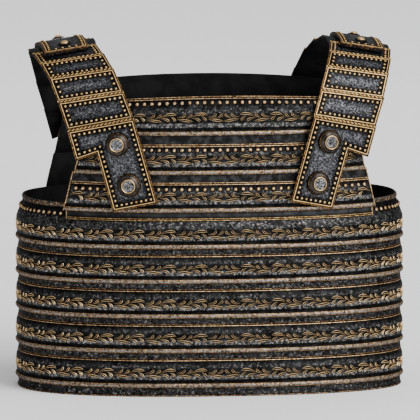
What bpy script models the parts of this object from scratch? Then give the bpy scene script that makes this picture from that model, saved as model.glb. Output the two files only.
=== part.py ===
# A segmented cuirass: five girdle bands on a hem ring, three breast and three back plates,
# and two shoulder straps of overlapping lames. Metres, +Z up, the front faces -Y, and the
# wearer's left is +X. The origin is the centre of the hem's lower face.

import math

import bmesh
import bpy
import numpy as np
from mathutils import Vector

# Plan of the body, at the crown of the beads
PLAN_HALF_WIDTH = 0.210
PLAN_HALF_DEPTH = 0.131
PLAN_EXPONENT = 2.4
PLAN_STATIONS = 40

# Girdle bands
BAND_COUNT = 5
BAND_PITCH = 0.0375
LOWEST_BEAD = 0.0122

# Section that the bands, the breast plates and the back plates share
BEAD_HEIGHT = 0.0054
BEAD_PROUD = 0.0010
GROOVE_DEPTH = 0.0008
GROOVE_REACH = 0.0068
BEAD_BACK = 0.0029
WALL = 0.0019
SLOPE_WALL = 0.0015
SEAT_GAP = 0.0004
BAND_SLOPE_FOOT = 0.0210
BAND_MARGIN_FOOT = 0.0282
BEAD_OUTLINE = [
    # set back as a share of BEAD_PROUD, height above the bead's centre as a share of half BEAD_HEIGHT
    (0.70, 0.85),
    (0.00, 0.33),
    (0.00, -0.33),
    (0.90, -0.90),
]

# Armhole rim of the top band
RIM_RISE = 0.0448
RIM_INSET = 0.0070
RIM_ROLL = 0.0050
RIM_ROUND = 0.0008
RIM_SHOULDER = 0.0015
RIM_HEIGHT = LOWEST_BEAD + BAND_PITCH * (BAND_COUNT - 1) + RIM_RISE

# Hem ring
HEM_LIP_HEIGHT = 0.0018
HEM_LIP_PROUD = 0.0009
HEM_LIP_ROUND = 0.0006
HEM_WALL = 0.0025

# Waist strips
STRIP_OVERLAP = 0.0167
STRIP_BEND = 0.0060
STRIP_WALL = 0.0016
STRIP_HALF_WIDTH = 0.1663
STRIP_FOOT = RIM_HEIGHT - STRIP_OVERLAP

# Breast and back plates
CHEST_SEAT_DROP = 0.0053
CHEST_HEIGHT = 0.1225
NECK_DIP = 0.0055
ARMHOLE_FOOT_HALF_WIDTH = 0.1690
ARMHOLE_TOP_HALF_WIDTH = 0.1400
ARMHOLE_STEP = 0.0015
CHEST_LEAN = math.radians(2.4)
CHEST_TOP = RIM_HEIGHT - CHEST_SEAT_DROP + CHEST_HEIGHT

# Shoulder straps
STRAP_WIDTH = 0.0735
CROWN_WIDTH = 0.0690
STRAP_WALL = 0.0018
STRAP_LAP = 0.0030
STRAP_GAP = 0.0004
CROWN_GAP = 0.0010
LAME_STEPS = 3
SHOULDER_HALF_SPAN = 0.1610
SHOULDER_RISE = 0.0463
SHOULDER_DROOP = math.radians(9.0)
SHOULDER_SWEEP = math.radians(8.5)
SHOULDER_HEIGHT = CHEST_TOP + SHOULDER_RISE

# L-shaped end plates of the straps
END_SEAT_HALF_SPAN = 0.1000
END_FLARE = math.radians(3.0)
END_TOP_INNER_X = 0.0959
END_TOP_DROP = 0.0223
END_FOOT_RISE = 0.0083
END_LEG_WIDTH = 0.0496
END_FOOT_DEPTH = 0.0335
END_NOTCH_DEPTH = 0.0300
END_DROOP = math.radians(11.4)
END_LEAN = math.radians(15.4)
END_LENGTH = (CHEST_HEIGHT - END_TOP_DROP - END_FOOT_RISE) / math.cos(END_LEAN) / math.cos(END_FLARE)

# Crown strip, cap and studs
CAP_WIDTH = 0.0480
CAP_HALF_LENGTH = 0.0490
CAP_WALL = 0.0042
CAP_RISE = 0.0060
CROWN_STEPS = 8
CAP_STEPS = 10
STUD_RADIUS = 0.0130
STUD_HEIGHT = 0.0075
STUD_UPPER_DEPTH = 0.0240
STUD_FOOT_RISE = 0.0252
CAP_STUD_RADIUS = 0.0069
CAP_STUD_HEIGHT = 0.0036
CAP_STUD_REACH = 0.0300
STUD_SIDES = 14

# Heights of the breast and back plates' beads, and of the lines on them, as shares of CHEST_HEIGHT
# and of the plate's own height. A margin_foot close to 1 leaves only a narrow top edge.
CHEST_PLATES = [
    # name, bead as a share of CHEST_HEIGHT, slope_foot and margin_foot as shares of the plate's height
    ("plate_1", 0.6750, 0.600, 0.930),
    ("plate_2", 0.3307, 0.490, 0.704),
    ("plate_3", 0.0000, 0.480, 0.719),
]

# Upper edge of each lame between the end plate's top (0) and the crown (1)
LAME_EDGE_SHARES = [
    # out along X, back along Y, up along Z
    ("lame_4", 0.330, 0.088, 0.384),
    ("lame_3", 0.612, 0.250, 0.698),
    ("lame_2", 0.844, 0.483, 0.875),
    ("lame_1", 0.996, 0.768, 0.964),
]

# Turned outline of a large stud, from the foot to the middle of its face
STUD_OUTLINE = [
    # radius as a share of STUD_RADIUS, height as a share of STUD_HEIGHT
    (1.000, 0.00),
    (0.985, 0.25),
    (0.860, 0.68),
    (0.680, 0.92),
    (0.600, 1.00),
]

# Turned outline of a cap stud: a flat collar round a small dome
CAP_STUD_OUTLINE = [
    # radius as a share of CAP_STUD_RADIUS, height as a share of CAP_STUD_HEIGHT
    (1.00, 0.00),
    (0.90, 0.30),
    (0.62, 0.38),
    (0.48, 0.80),
    (0.20, 1.00),
]


def clear_scene():
    for obj in list(bpy.data.objects):
        bpy.data.objects.remove(obj, do_unlink=True)


def metal(name, colour, metallic, roughness):
    material = bpy.data.materials.new(name)
    material.use_nodes = True
    shader = material.node_tree.nodes["Principled BSDF"]
    shader.inputs["Base Color"].default_value = (*colour, 1.0)
    shader.inputs["Metallic"].default_value = metallic
    shader.inputs["Roughness"].default_value = roughness
    material.diffuse_color = (*colour, 1.0)
    return material


def add_object(name, bm, material):
    bmesh.ops.recalc_face_normals(bm, faces=bm.faces)
    mesh = bpy.data.meshes.new(name)
    bm.to_mesh(mesh)
    bm.free()
    mesh.materials.append(material)
    mesh.shade_smooth()
    mesh.set_sharp_from_angle(angle=math.radians(32))
    obj = bpy.data.objects.new(name, mesh)
    bpy.context.scene.collection.objects.link(obj)
    return obj


# Superellipse |x/a|^n + |y/b|^n = 1 at an angle, grown outwards by offset
def plan_point(angle, offset):
    cos, sin = math.cos(angle), math.sin(angle)
    power = 2 / PLAN_EXPONENT
    x = (PLAN_HALF_WIDTH + offset) * math.copysign(abs(cos) ** power, cos)
    y = (PLAN_HALF_DEPTH + offset) * math.copysign(abs(sin) ** power, sin)
    return x, y


# Angles that cut the plan into equal lengths, the same for every piece, so that their facets line up
def plan_angles():
    fine = np.linspace(0, math.pi / 2, 2000)
    points = np.array([plan_point(angle, 0) for angle in fine])
    lengths = np.concatenate([[0], np.cumsum(np.hypot(*np.diff(points, axis=0).T))])
    quarter = np.interp(np.linspace(0, lengths[-1], PLAN_STATIONS // 4 + 1), lengths, fine)
    angles = []
    for turn in range(0, 4, 2):
        angles += list(turn * math.pi / 2 + quarter[:-1])
        angles += list((turn + 2) * math.pi / 2 - quarter[:0:-1])
    return angles


def bead_heights():
    return [LOWEST_BEAD + BAND_PITCH * (BAND_COUNT - number) for number in range(1, BAND_COUNT + 1)]


def lowest_chest_bead():
    return RIM_HEIGHT - CHEST_SEAT_DROP


# The face of a band or plate from its slope down, round the bead and to the bead's back,
# as (offset, height) with the bead's centre at height 0
def face_section(slope_foot):
    half = BEAD_HEIGHT / 2
    bead = [(-BEAD_PROUD * back, half * height) for back, height in BEAD_OUTLINE]
    return (
        [
            (-BEAD_PROUD, slope_foot),
            (-BEAD_PROUD, GROOVE_REACH),
            (-BEAD_PROUD - GROOVE_DEPTH, (GROOVE_REACH + half) / 2),
        ]
        + bead
        + [(-BEAD_BACK, -half), (-BEAD_PROUD - GROOVE_DEPTH - SLOPE_WALL, slope_foot - SLOPE_WALL / 2)]
    )


# A whole plate: the margin that the plate above laps over, the slope, the face and the back
def plate_section(slope_foot, margin_foot, top):
    margin = -BEAD_BACK - SEAT_GAP
    return (
        [(margin, top), (margin, margin_foot)]
        + face_section(slope_foot)
        + [(margin - WALL, margin_foot - WALL / 2), (margin - WALL, top)]
    )


# The top band's section, whose slope ends in the armhole rim's roll
def rim_section(slope_foot, top):
    back = -RIM_INSET - RIM_ROUND - WALL
    roll_foot = top - RIM_ROLL
    return (
        [
            (-RIM_INSET - RIM_ROUND, top),
            (-RIM_INSET, top - RIM_SHOULDER),
            (-RIM_INSET, roll_foot + RIM_SHOULDER),
            (-RIM_INSET - RIM_ROUND, roll_foot),
        ]
        + face_section(slope_foot)
        + [(back, roll_foot - WALL / 2), (back, top)]
    )


# Outer offset of the top band's slope at a height above its bead
def rim_slope_offset(height):
    roll_foot = RIM_HEIGHT - bead_heights()[0] - RIM_ROLL
    share = (height - BAND_SLOPE_FOOT) / (roll_foot - BAND_SLOPE_FOOT)
    return -BEAD_PROUD - share * (RIM_INSET + RIM_ROUND - BEAD_PROUD)


# A section carried round the plan's angles. A lean moves it inwards above the lowest breast
# plate's bead, and lift, where there is one, gives each point's rise from its x and its height.
def sweep_section(bm, section, angles, closed, base, side=-1, lean=0, lift=None):
    rings = []
    for angle in angles:
        ring = []
        for offset, height in section:
            x, y = plan_point(angle, offset - math.tan(lean) * (base + height - lowest_chest_bead()))
            rise = lift(x, height) if lift else 0
            ring.append(bm.verts.new((x, -side * y, base + height + rise)))
        rings.append(ring)
    pairs = list(zip(rings, rings[1:] + rings[:1])) if closed else list(zip(rings, rings[1:]))
    for first, second in pairs:
        for i in range(len(section)):
            j = (i + 1) % len(section)
            bm.faces.new((first[i], first[j], second[j], second[i]))
    return rings


def hoop(name, section, base, material):
    bm = bmesh.new()
    sweep_section(bm, section, plan_angles(), True, base)
    return add_object(name, bm, material)


# An open plate on the front (side -1) or the back (side 1), cut at both ends along the armhole
# line, which runs through half_width at height base and leans inwards by slope
def open_plate(name, section, base, side, half_width, slope, material, lean=0, lift=None):
    bm = bmesh.new()
    angles = [angle for angle in plan_angles() if math.pi <= angle] + [2 * math.pi]
    sweep_section(bm, section, angles, False, base, side, lean, lift)
    for hand in (-1, 1):
        cut = bmesh.ops.bisect_plane(
            bm,
            geom=bm.verts[:] + bm.edges[:] + bm.faces[:],
            dist=1e-7,
            plane_co=(hand * half_width, 0, base),
            plane_no=(hand, 0, slope),
            clear_outer=True,
        )
        edges = [item for item in cut["geom_cut"] if isinstance(item, bmesh.types.BMEdge)]
        bmesh.ops.contextual_create(bm, geom=edges)
    return add_object(name, bm, material)


def build_girdle(steel, grey):
    beads = bead_heights()
    for number, bead in enumerate(beads, start=1):
        if number == 1:
            section = rim_section(BAND_SLOPE_FOOT, RIM_HEIGHT - bead)
        else:
            top = beads[number - 2] - bead - SEAT_GAP
            section = plate_section(BAND_SLOPE_FOOT, BAND_MARGIN_FOOT, top)
        hoop(f"girdle_band_{number}", section, bead, steel)
    margin = -BEAD_BACK - SEAT_GAP
    hem_section = [
        (margin, LOWEST_BEAD - SEAT_GAP),
        (margin, HEM_LIP_HEIGHT),
        (margin + HEM_LIP_PROUD, HEM_LIP_HEIGHT - HEM_LIP_ROUND),
        (margin + HEM_LIP_PROUD, 0),
        (margin - HEM_WALL, 0),
        (margin - HEM_WALL, LOWEST_BEAD - SEAT_GAP),
    ]
    hoop("hem_ring", hem_section, 0, grey)


def build_waist_strips(grey):
    top_band = bead_heights()[0]
    foot = STRIP_FOOT - top_band
    back_at_foot = rim_slope_offset(foot) + STRAP_GAP
    margin = -BEAD_BACK - SEAT_GAP
    top = lowest_chest_bead() - SEAT_GAP - top_band
    section = [
        (margin, top),
        (margin, foot + STRIP_BEND),
        (back_at_foot + STRIP_WALL, foot),
        (back_at_foot, foot),
        (margin - STRIP_WALL, foot + STRIP_BEND),
        (margin - STRIP_WALL, top),
    ]
    for place, side in (("front", -1), ("back", 1)):
        open_plate(f"{place}_waist_strip", section, top_band, side, STRIP_HALF_WIDTH, 0, grey)


def build_chest(steel):
    lowest = lowest_chest_bead()
    slope = (ARMHOLE_FOOT_HALF_WIDTH - ARMHOLE_TOP_HALF_WIDTH) / CHEST_HEIGHT
    top = CHEST_TOP
    for row, (plate, bead_share, slope_share, margin_share) in enumerate(CHEST_PLATES):
        bead = lowest + CHEST_HEIGHT * bead_share
        height = top - bead
        section = plate_section(slope_share * height, margin_share * height, height)
        half_width = ARMHOLE_FOOT_HALF_WIDTH - slope * (bead - lowest)
        step = ARMHOLE_STEP * (len(CHEST_PLATES) - 1 - row)

        def neck_dip(x, above_bead, full=height):
            return -NECK_DIP * max(above_bead, 0) / full * (x / ARMHOLE_TOP_HALF_WIDTH) ** 2

        for place, side in (("front", -1), ("back", 1)):
            open_plate(f"{place}_{plate}", section, bead, side, half_width - step, slope, steel,
                       CHEST_LEAN, neck_dip if row == 0 else None)
        top = bead - SEAT_GAP


# Unit vector across a strap, pointing outwards, with its droop and its sweep back
def across_vector(droop, sweep):
    level = math.cos(droop)
    return Vector((level * math.cos(sweep), level * math.sin(sweep), -math.sin(droop)))


# The plan's front half at a distance from the middle plane: the y there
def front_of_plan(x):
    return -PLAN_HALF_DEPTH * (1 - (x / PLAN_HALF_WIDTH) ** PLAN_EXPONENT) ** (1 / PLAN_EXPONENT)


# Front face frame of the left end plate: its top inner corner, its directions across and down,
# and its outward normal. The plate is flat. It lies on the lowest breast plate's bead, along the
# plan's tangent there, and stands a little further out towards its top.
def end_frame():
    step = END_SEAT_HALF_SPAN / 1000
    seat = Vector((END_SEAT_HALF_SPAN, front_of_plan(END_SEAT_HALF_SPAN), lowest_chest_bead()))
    rise = front_of_plan(END_SEAT_HALF_SPAN + step) - seat.y
    level = Vector((step, rise, 0)).normalized()
    out = Vector((level.y, -level.x, 0))
    up = Vector((0, 0, math.cos(END_FLARE))) + out * math.sin(END_FLARE)
    normal = out * math.cos(END_FLARE) - Vector((0, 0, math.sin(END_FLARE)))
    corner = (
        seat
        + level * ((END_TOP_INNER_X - seat.x) / level.x)
        + up * ((CHEST_TOP - END_TOP_DROP - seat.z) / up.z)
        + normal * (STRAP_GAP + STRAP_WALL)
    )
    across = level * math.cos(END_DROOP) - up * math.sin(END_DROOP)
    down = -level * math.sin(END_LEAN) - up * math.cos(END_LEAN)
    return corner, across, down, normal


# Mirrors a point to the wearer's right (hand -1) and to the back (side 1)
def placed(point, hand, side):
    return Vector((point.x * hand, -point.y * side, point.z))


def slab(name, outline, normal, wall, hand, side, material):
    bm = bmesh.new()
    front = [bm.verts.new(placed(point, hand, side)) for point in outline]
    back = [bm.verts.new(placed(point - normal * wall, hand, side)) for point in outline]
    bm.faces.new(front)
    bm.faces.new(back[::-1])
    for i in range(len(front)):
        j = (i + 1) % len(front)
        bm.faces.new((front[j], front[i], back[i], back[j]))
    return add_object(name, bm, material)


def build_end_plate(hand, side, name, material):
    corner, across, down, normal = end_frame()
    outline = [
        corner,
        corner + across * STRAP_WIDTH,
        corner + across * STRAP_WIDTH + down * END_FOOT_DEPTH,
        corner + across * END_LEG_WIDTH + down * END_NOTCH_DEPTH,
        corner + across * END_LEG_WIDTH + down * END_LENGTH,
        corner + down * END_LENGTH,
    ]
    return slab(name, outline, normal, STRAP_WALL, hand, side, material)


# Each lame as (name, middle of its upper edge, middle of its lower edge, the directions across
# there, its widths there, normal), from the end plate up. A lame's lower end lies under the next one down.
def lame_runs():
    corner, across, down, normal = end_frame()
    end_top = corner + across * (STRAP_WIDTH / 2)
    crown = Vector((SHOULDER_HALF_SPAN, 0, SHOULDER_HEIGHT))
    shoulder_across = across_vector(SHOULDER_DROOP, SHOULDER_SWEEP)
    upper, lower_across, lower_down, lower_normal = end_top, across, down, normal
    lower_width = STRAP_WIDTH
    runs = []
    for name, out, back, rise in LAME_EDGE_SHARES:
        foot = upper + lower_down * STRAP_LAP - lower_normal * (STRAP_WALL + STRAP_GAP)
        top = Vector((
            end_top.x + (crown.x - end_top.x) * out,
            end_top.y * (1 - back),
            end_top.z + (crown.z - end_top.z) * rise,
        ))
        lame_down = (foot - top).normalized()
        lame_normal = shoulder_across.cross(lame_down).normalized()
        if lame_normal.y > 0:
            lame_normal = -lame_normal
        width = STRAP_WIDTH + (CROWN_WIDTH - STRAP_WIDTH) * rise
        runs.append((name, top, foot, shoulder_across, lower_across, width, lower_width, lame_normal))
        lower_width = width
        upper, lower_across, lower_down, lower_normal = top, shoulder_across, lame_down, lame_normal
    crown_foot = upper + lower_down * STRAP_LAP - lower_normal * (STRAP_WALL + CROWN_GAP)
    return runs, crown_foot


# A lame is ruled between its upper and its lower edge, and the lowest one is a little twisted. Its
# front and back are cut into triangles along the same diagonals, so that its wall is even.
def ruled_plate(name, top_edge, foot_edge, normal, hand, side, material):
    bm = bmesh.new()
    steps = [step / LAME_STEPS for step in range(LAME_STEPS + 1)]
    front, back = [
        [
            [
                bm.verts.new(placed(
                    top_edge[0].lerp(top_edge[1], u).lerp(foot_edge[0].lerp(foot_edge[1], u), v) - normal * depth,
                    hand,
                    side,
                ))
                for u in steps
            ]
            for v in steps
        ]
        for depth in (0, STRAP_WALL)
    ]
    for grid in (front, back):
        for upper, lower in zip(grid, grid[1:]):
            for i in range(LAME_STEPS):
                bm.faces.new((upper[i], upper[i + 1], lower[i + 1], lower[i]))
    front_rim, back_rim = [
        grid[0][:-1] + [row[-1] for row in grid[:-1]] + grid[-1][:0:-1] + [row[0] for row in grid[:0:-1]]
        for grid in (front, back)
    ]
    for i in range(len(front_rim)):
        j = (i + 1) % len(front_rim)
        bm.faces.new((front_rim[i], front_rim[j], back_rim[j], back_rim[i]))
    bmesh.ops.triangulate(bm, faces=bm.faces[:], quad_method="FIXED")
    return add_object(name, bm, material)


def build_lames(hand, side, prefix, material):
    for name, top, foot, across, foot_across, width, foot_width, normal in lame_runs()[0]:
        top_edge = (top - across * width / 2, top + across * width / 2)
        foot_edge = (foot - foot_across * foot_width / 2, foot + foot_across * foot_width / 2)
        ruled_plate(f"{prefix}_{name}", top_edge, foot_edge, normal, hand, side, material)


# An arched strip over the shoulder: rows of points across, from the front to the back, on an arc
# through its foot and its crown, thickened downwards
def arched_strip(name, foot, height, width, wall, steps, droop, sweep, hand, material):
    bm = bmesh.new()
    reach = abs(foot.y)
    sagitta = height - foot.z
    radius = (reach**2 + sagitta**2) / (2 * sagitta)
    half_turn = math.asin(reach / radius)
    rings = []
    for step in range(steps + 1):
        share = 2 * step / steps - 1
        turn = share * half_turn
        out = Vector((0, math.sin(turn), math.cos(turn)))
        level = Vector((0, 0, height - radius))
        across = across_vector(droop, -share * sweep)
        x = Vector((foot.x, 0, 0))
        outer = x + level + out * radius
        inner = x + level + out * (radius - wall)
        ring = [outer - across * width / 2, outer + across * width / 2,
                inner + across * width / 2, inner - across * width / 2]
        rings.append([bm.verts.new(placed(point, hand, -1)) for point in ring])
    for first, second in zip(rings, rings[1:]):
        for i in range(4):
            j = (i + 1) % 4
            bm.faces.new((first[i], first[j], second[j], second[i]))
    bm.faces.new(rings[0])
    bm.faces.new(rings[-1][::-1])
    return add_object(name, bm, material)


def build_crown(hand, prefix, grey, mottled, brass):
    crown_foot = lame_runs()[1]
    arched_strip(f"{prefix}_crown_strip", crown_foot, SHOULDER_HEIGHT, CROWN_WIDTH, STRAP_WALL, CROWN_STEPS,
                 SHOULDER_DROOP, SHOULDER_SWEEP, hand, grey)
    cap_height = SHOULDER_HEIGHT + STRAP_GAP + CAP_WALL
    cap_foot = Vector((SHOULDER_HALF_SPAN, -CAP_HALF_LENGTH, cap_height - CAP_RISE))
    arched_strip(f"{prefix}_shoulder_cap", cap_foot, cap_height, CAP_WIDTH, CAP_WALL, CAP_STEPS,
                 SHOULDER_DROOP, 0, hand, mottled)
    radius = (CAP_HALF_LENGTH**2 + CAP_RISE**2) / (2 * CAP_RISE)
    tilt = math.asin(CAP_STUD_REACH / radius)
    across = across_vector(SHOULDER_DROOP, 0)
    normal = across.cross(Vector((0, math.cos(tilt), math.sin(tilt))))
    seat = Vector((SHOULDER_HALF_SPAN, -CAP_STUD_REACH, cap_height - radius * (1 - math.cos(tilt)))) + normal * STRAP_GAP
    for place, side in (("front", -1), ("back", 1)):
        turned_stud(f"{prefix}_{place}_cap_stud", CAP_STUD_OUTLINE, CAP_STUD_RADIUS, CAP_STUD_HEIGHT,
                    placed(seat, hand, side), placed(normal, hand, side), brass)


# A turned stud: its outline spun round its axis, with a flat foot and a flat face
def turned_stud(name, outline, radius, height, seat, axis, material):
    bm = bmesh.new()
    rings = []
    for radius_share, height_share in outline:
        ring = []
        for side in range(STUD_SIDES):
            angle = 2 * math.pi * side / STUD_SIDES
            r = radius * radius_share
            ring.append(bm.verts.new((r * math.cos(angle), r * math.sin(angle), height * height_share)))
        rings.append(ring)
    for first, second in zip(rings, rings[1:]):
        for i in range(STUD_SIDES):
            j = (i + 1) % STUD_SIDES
            bm.faces.new((first[i], first[j], second[j], second[i]))
    bm.faces.new(rings[0][::-1])
    bm.faces.new(rings[-1])
    obj = add_object(name, bm, material)
    obj.rotation_mode = "QUATERNION"
    obj.rotation_quaternion = axis.to_track_quat("Z", "Y")
    obj.location = seat
    return obj


def build_end_studs(hand, side, prefix, material):
    corner, across, down, normal = end_frame()
    for number, depth in enumerate((STUD_UPPER_DEPTH, END_LENGTH - STUD_FOOT_RISE), start=1):
        seat = corner + across * (END_LEG_WIDTH / 2) + down * depth + normal * STRAP_GAP
        axis = placed(normal, hand, side)
        turned_stud(f"{prefix}_stud_{number}", STUD_OUTLINE, STUD_RADIUS, STUD_HEIGHT,
                    placed(seat, hand, side), axis, material)


def build_straps(mottled, grey, studs, brass):
    for hand_name, hand in (("left", 1), ("right", -1)):
        for place, side in (("front", -1), ("back", 1)):
            prefix = f"{hand_name}_{place}"
            build_end_plate(hand, side, f"{prefix}_end_plate", mottled)
            build_lames(hand, side, prefix, mottled)
            build_end_studs(hand, side, prefix, studs)
        build_crown(hand, hand_name, grey, mottled, brass)


def build():
    clear_scene()
    steel = metal("blackened steel", (0.060, 0.056, 0.050), 0.8, 0.48)
    grey = metal("plain grey steel", (0.045, 0.045, 0.047), 0.7, 0.55)
    mottled = metal("mottled steel", (0.105, 0.104, 0.108), 0.75, 0.50)
    studs = metal("stud steel", (0.050, 0.048, 0.046), 0.85, 0.38)
    brass = metal("worn brass", (0.42, 0.29, 0.13), 0.9, 0.40)
    build_girdle(steel, grey)
    build_waist_strips(grey)
    build_chest(steel)
    build_straps(mottled, grey, studs, brass)


build()
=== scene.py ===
import math

import bmesh
import bpy
import numpy as np
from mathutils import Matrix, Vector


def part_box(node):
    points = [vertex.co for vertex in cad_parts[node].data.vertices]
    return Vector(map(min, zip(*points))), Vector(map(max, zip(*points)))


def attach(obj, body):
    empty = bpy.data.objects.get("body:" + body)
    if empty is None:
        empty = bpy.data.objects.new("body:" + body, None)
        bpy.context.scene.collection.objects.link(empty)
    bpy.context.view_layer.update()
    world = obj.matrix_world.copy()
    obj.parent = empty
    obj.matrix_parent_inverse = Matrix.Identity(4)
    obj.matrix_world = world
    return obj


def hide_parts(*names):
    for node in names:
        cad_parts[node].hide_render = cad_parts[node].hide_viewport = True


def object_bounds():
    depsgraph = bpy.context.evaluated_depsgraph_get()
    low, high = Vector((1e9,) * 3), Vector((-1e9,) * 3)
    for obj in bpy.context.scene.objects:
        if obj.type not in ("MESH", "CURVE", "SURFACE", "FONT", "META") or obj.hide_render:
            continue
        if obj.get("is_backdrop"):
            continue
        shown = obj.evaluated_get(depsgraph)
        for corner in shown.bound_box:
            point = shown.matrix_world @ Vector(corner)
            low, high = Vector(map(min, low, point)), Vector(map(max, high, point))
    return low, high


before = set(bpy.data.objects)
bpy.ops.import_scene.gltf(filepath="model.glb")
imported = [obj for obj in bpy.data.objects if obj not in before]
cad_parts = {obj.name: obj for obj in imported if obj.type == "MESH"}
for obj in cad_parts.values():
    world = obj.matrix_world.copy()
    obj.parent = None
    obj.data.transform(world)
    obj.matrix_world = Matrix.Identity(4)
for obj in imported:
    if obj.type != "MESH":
        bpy.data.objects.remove(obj)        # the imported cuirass: every new piece below takes its place from it
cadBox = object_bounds()
print("frame loaded:", len(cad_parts), "nodes")

# Lengths are in millimetres until a mesh is made. +Z is up, the front faces -Y, the wearer's left is +X.
# Every surface point carries a finish and painted shade, which the materials read from its attribute:
# gilt (0 steel, 1 gilded), shade (a factor on the colour: below 1 a darker steel, which in grooves,
# creases, under the beads and round the leaves, pearls and studs is painted shade; more than 1 a lighter
# steel, and on the studs' domes a painted sheen) and wear (0 dull, 1 rubbed bright, below 0 no flecks).


# Plan of the body

girdleBox = [np.array(corner) * 1000 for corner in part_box("girdle_band_1")]
body = {
    "halfWidth": girdleBox[1][0],
    "halfDepth": girdleBox[1][1],
    "exponent": 2.4,       # of the superellipse
    "hoopStations": 400,
    "plateStations": 150,
    "planPoints": 60001,
    "lean": math.radians(2.4),    # of the breast plates, inwards above their lowest bead
}

# The superellipse |x/a|^n + |y/b|^n = 1 walked from the middle of the back over the wearer's right, the
# front's middle and the left: unitX and unitY are x/a and y/b, and arc is the length from the front's
# middle, negative on the wearer's right
turn = np.linspace(-math.pi, math.pi, body["planPoints"])
power = 2 / body["exponent"]
unitX = np.sign(np.sin(turn)) * np.abs(np.sin(turn)) ** power
unitY = -np.sign(np.cos(turn)) * np.abs(np.cos(turn)) ** power
steps = np.hypot(np.diff(unitX) * body["halfWidth"], np.diff(unitY) * body["halfDepth"])
arc = np.concatenate([[0], np.cumsum(steps)])
arc -= arc[len(arc) // 2]
halfGirth = arc[-1]


# Points on a row at arc length s and height above its bead: the plan grown by the offset, less the
# lean, with the top edge's dip towards its ends
def rowPoints(row, s, height, offset):
    offset = offset - row["lean"] * (row["bead"] + height - chest["lowestBead"])
    x = (body["halfWidth"] + offset) * np.interp(s, arc, unitX)
    y = (body["halfDepth"] + offset) * np.interp(s, arc, unitY)
    dip = row["dip"] * np.maximum(height, 0) / row["tall"] * (x / chest["topHalfWidth"]) ** 2
    return np.stack([x, y * -row["side"], row["bead"] + height - dip], axis=-1)


def onRow(row, s, height, lift=0.0):        # the same, lifted off the row's outer face
    s, height, lift = np.broadcast_arrays(s, height, lift)
    return rowPoints(row, s, height, np.interp(height, row["heights"], row["offsets"]) + lift)


def unit(vectors):
    return vectors / np.linalg.norm(vectors, axis=-1, keepdims=True)


# Local axes on a row's face, as rows along, up and out: from points a short step away
def rowAxes(row, s, height):
    step = 0.05
    here = onRow(row, s, height)
    along = unit(onRow(row, s + step, height) - here)
    up = unit(onRow(row, s, height + step) - here)
    out = np.cross(along, up) * -row["side"]
    return np.stack([along, up, out], axis=-2)


# Arc length at which the plan, grown by offset, is at a distance x from the middle plane
def arcAt(x, offset):
    front = slice(len(arc) // 4, 3 * len(arc) // 4 + 1)
    return np.interp(np.asarray(x) / (body["halfWidth"] + offset), unitX[front], arc[front])


# Meshes: a patch is (points, faces, finish and painted shade, slots), with faces a list of arrays of
# one face size each

# The quads between neighbouring points of a grid, which may close on itself either way
def gridFaces(rows, columns, closeRows, closeColumns):
    index = np.arange(rows * columns).reshape(rows, columns)
    if closeRows:
        index = np.vstack([index, index[:1]])
    if closeColumns:
        index = np.hstack([index, index[:, :1]])
    return np.stack([index[:-1, :-1], index[:-1, 1:], index[1:, 1:], index[1:, :-1]], axis=-1).reshape(-1, 4)


# A grid of points as a patch: rows of points, each band between two rows in its own material slot
def gridPatch(points, finishAndShade, closeRows, closeColumns, rowSlots, ends=()):
    rows, columns = points.shape[:2]
    quads = gridFaces(rows, columns, closeRows, closeColumns)
    bands = rows if closeRows else rows - 1
    bandSlots = np.zeros(bands, int) if rowSlots is None else rowSlots[:bands]
    faces = [quads]
    slots = [np.repeat(bandSlots, len(quads) // bands)]
    index = np.arange(rows * columns).reshape(rows, columns)
    loops = {"left": index[:, 0], "right": index[:, -1], "first": index[0], "last": index[-1]}
    for end in ends:
        faces.append(loops[end][None, :])
        slots.append(np.zeros(1, int))
    finishAndShade = np.broadcast_to(finishAndShade, points.shape).reshape(-1, 3)
    return points.reshape(-1, 3), faces, finishAndShade, slots


def tubePatch(rings, finishAndShade, ringSlots=None):        # closed rings in a row, with both ends filled
    return gridPatch(rings, finishAndShade, False, True, ringSlots, ("first", "last"))


# A turned piece: an outline of (radius, height, gilt, shade, wear) spun round the axis out of a seat
def turnedPatch(outline, seat, axis, sides):
    across = unit(np.cross(axis, [0.0, 0.0, 1.0] if abs(axis[2]) < 0.9 else [0.0, -1.0, 0.0]))
    other = np.cross(axis, across)
    angle = np.linspace(0, 2 * math.pi, sides, endpoint=False)
    ring = np.cos(angle)[:, None] * across + np.sin(angle)[:, None] * other
    outline = np.array(outline)
    rings = seat + outline[:, :1, None] * ring[None] + outline[:, 1:2, None] * axis
    return tubePatch(rings, outline[:, None, 2:])


# Copies of a small patch: each point goes to origin + x along + y up + z out of its own axes
def stamped(template, origins, axes):
    points, faces, finishAndShade, slots = template
    count, size = len(origins), len(points)
    placed = origins[:, None, :] + np.einsum("pk,ckj->cpj", points, axes)
    shift = (np.arange(count) * size)[:, None, None]
    faces = [(part[None] + shift).reshape(-1, part.shape[1]) for part in faces]
    slots = [np.tile(part, count) for part in slots]
    return placed.reshape(-1, 3), faces, np.tile(finishAndShade, (count, 1)), slots


def mirrored(patch, hand, side=-1):        # hand -1 is the wearer's right, side 1 the back
    return (patch[0] * np.array([hand, -side, 1]), *patch[1:])


def addObject(name, data):
    made = bpy.data.objects.new(name, data)
    bpy.context.scene.collection.objects.link(made)
    return made


sharpEdge = math.radians(38)       # edges that turn by more stay crisp


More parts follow.
